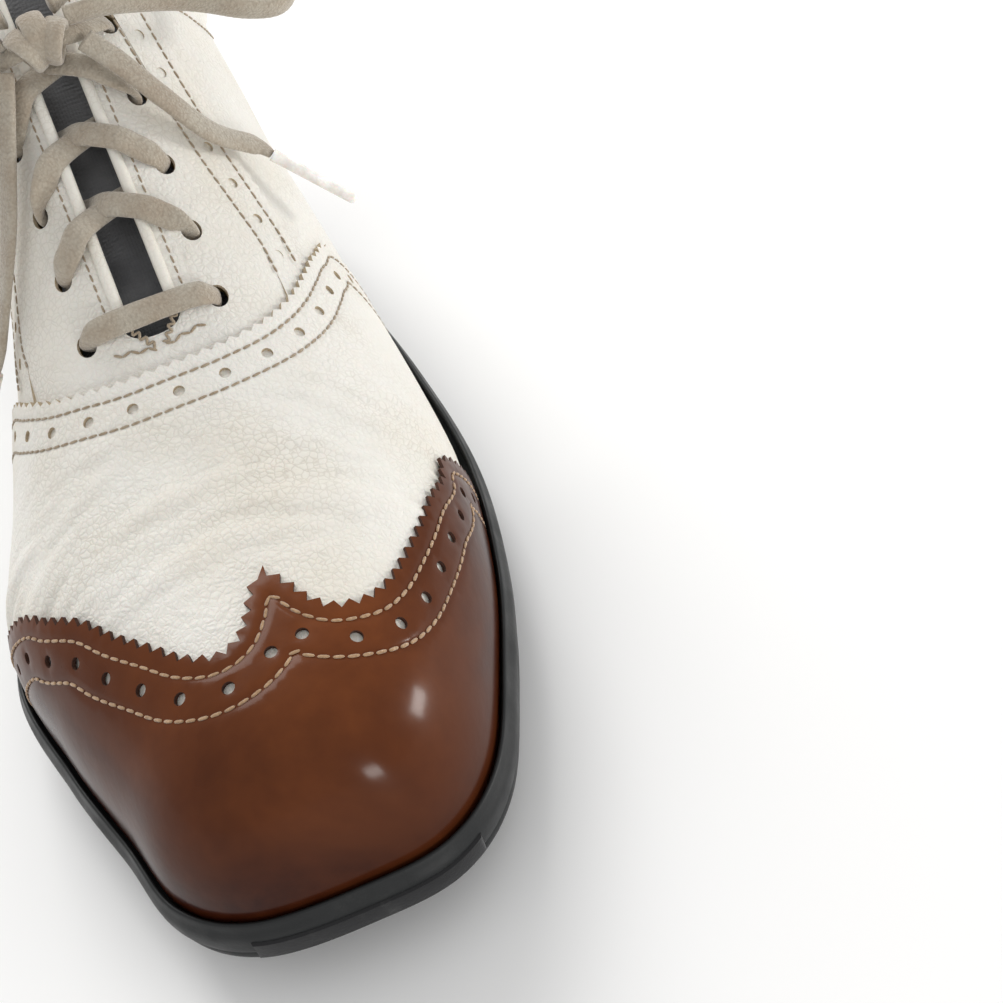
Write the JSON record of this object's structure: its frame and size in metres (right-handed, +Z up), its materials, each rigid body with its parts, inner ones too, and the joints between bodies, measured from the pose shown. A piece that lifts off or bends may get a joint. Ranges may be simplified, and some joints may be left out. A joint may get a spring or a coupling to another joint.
{
  "type": "golf shoe",
  "caption": "Left wing-tip golf oxford: layered leather upper, lacing with bow, padded collar, rubber sole with a toe bumper and twist-lock soft cleats.",
  "frame": {"origin": "on the ground under the middle of the shoe's box, measured without the bow and free lace ends", "axes": "+Z up, +Y towards the heel, -Y towards the toe, +X towards the outer (lateral) side of this left shoe"},
  "size_m": [0.109, 0.2646, 0.1235],
  "materials": {
    "brown_patent": "glossy patent leather, dark at the sides",
    "white_leather": "pebbled full-grain leather, satin",
    "white_piping": "smooth rolled leather edge",
    "grey_lining": "matte knitted lining",
    "foam": "open-cell foam",
    "stiffener_board": "matte fibre board",
    "black_rubber": "semi-matte rubber",
    "black_gloss": "glossy plastic",
    "shank_steel": "brushed",
    "eyelet_brass": "satin",
    "cleat_plastic": "matte flexible plastic",
    "receptacle_plastic": "matte hard plastic",
    "lace_cotton": "woven cotton, fuzzy",
    "aglet_plastic": "translucent glossy plastic sleeve"
  },
  "bodies": {
    "shoe": {"toe_cap": "brown_patent", "heel_cap": "brown_patent", "back_stay": "brown_patent", "vamp": "white_leather", "facing_outer": "white_leather", "facing_inner": "white_leather", "quarter_outer": "white_leather", "quarter_inner": "white_leather", "tongue": "white_leather", "collar_roll": "white_leather", "piping_outer": "white_piping", "piping_inner": "white_piping", "vamp_lining": "grey_lining", "quarter_lining": "grey_lining", "tongue_lining": "grey_lining", "footbed": "grey_lining", "collar_foam": "foam", "toe_puff": "stiffener_board", "heel_counter": "stiffener_board", "insole_board": "stiffener_board", "midsole": "black_rubber", "outsole": "black_rubber", "heel_block": "black_rubber", "heel_lift": "black_rubber", "toe_insert": "black_gloss", "shank": "shank_steel", "eyelet_outer_1": "eyelet_brass", "eyelet_inner_1": "eyelet_brass", "eyelet_outer_2": "eyelet_brass", "eyelet_inner_2": "eyelet_brass", "eyelet_outer_3": "eyelet_brass", "eyelet_inner_3": "eyelet_brass", "eyelet_outer_4": "eyelet_brass", "eyelet_inner_4": "eyelet_brass", "eyelet_outer_5": "eyelet_brass", "eyelet_inner_5": "eyelet_brass", "receptacle_1": "receptacle_plastic", "receptacle_2": "receptacle_plastic", "receptacle_3": "receptacle_plastic", "receptacle_4": "receptacle_plastic", "receptacle_5": "receptacle_plastic", "receptacle_6": "receptacle_plastic", "receptacle_7": "receptacle_plastic", "lace": "lace_cotton", "bow_knot": "lace_cotton", "lace_loop_outer": "lace_cotton", "lace_loop_inner": "lace_cotton", "lace_end_outer": "lace_cotton", "lace_end_inner": "lace_cotton", "aglet_outer": "aglet_plastic", "aglet_inner": "aglet_plastic"},
    "cleat_1_body": {"cleat_1": "cleat_plastic"},
    "cleat_2_body": {"cleat_2": "cleat_plastic"},
    "cleat_3_body": {"cleat_3": "cleat_plastic"},
    "cleat_4_body": {"cleat_4": "cleat_plastic"},
    "cleat_5_body": {"cleat_5": "cleat_plastic"},
    "cleat_6_body": {"cleat_6": "cleat_plastic"},
    "cleat_7_body": {"cleat_7": "cleat_plastic"}
  },
  "joints": [
    {"name": "cleat_1_twist", "type": "hinge", "parent": "shoe", "child": "cleat_1_body", "pos_m": [-0.01733, -0.09005, 0.003], "axis": [0, 0, 1], "range_deg": [0, 90]},
    {"name": "cleat_2_twist", "type": "hinge", "parent": "shoe", "child": "cleat_2_body", "pos_m": [0.02467, -0.08805, 0.003], "axis": [0, 0, 1], "range_deg": [0, 90]},
    {"name": "cleat_3_twist", "type": "hinge", "parent": "shoe", "child": "cleat_3_body", "pos_m": [-0.03433, -0.05605, 0.003], "axis": [0, 0, 1], "range_deg": [0, 90]},
    {"name": "cleat_4_twist", "type": "hinge", "parent": "shoe", "child": "cleat_4_body", "pos_m": [0.03567, -0.05205, 0.003], "axis": [0, 0, 1], "range_deg": [0, 90]},
    {"name": "cleat_5_twist", "type": "hinge", "parent": "shoe", "child": "cleat_5_body", "pos_m": [0.00167, -0.03805, 0.003], "axis": [0, 0, 1], "range_deg": [0, 90]},
    {"name": "cleat_6_twist", "type": "hinge", "parent": "shoe", "child": "cleat_6_body", "pos_m": [-0.01533, 0.08795, 0.003], "axis": [0, 0, 1], "range_deg": [0, 90]},
    {"name": "cleat_7_twist", "type": "hinge", "parent": "shoe", "child": "cleat_7_body", "pos_m": [0.01967, 0.08895, 0.003], "axis": [0, 0, 1], "range_deg": [0, 90]}
  ]
}
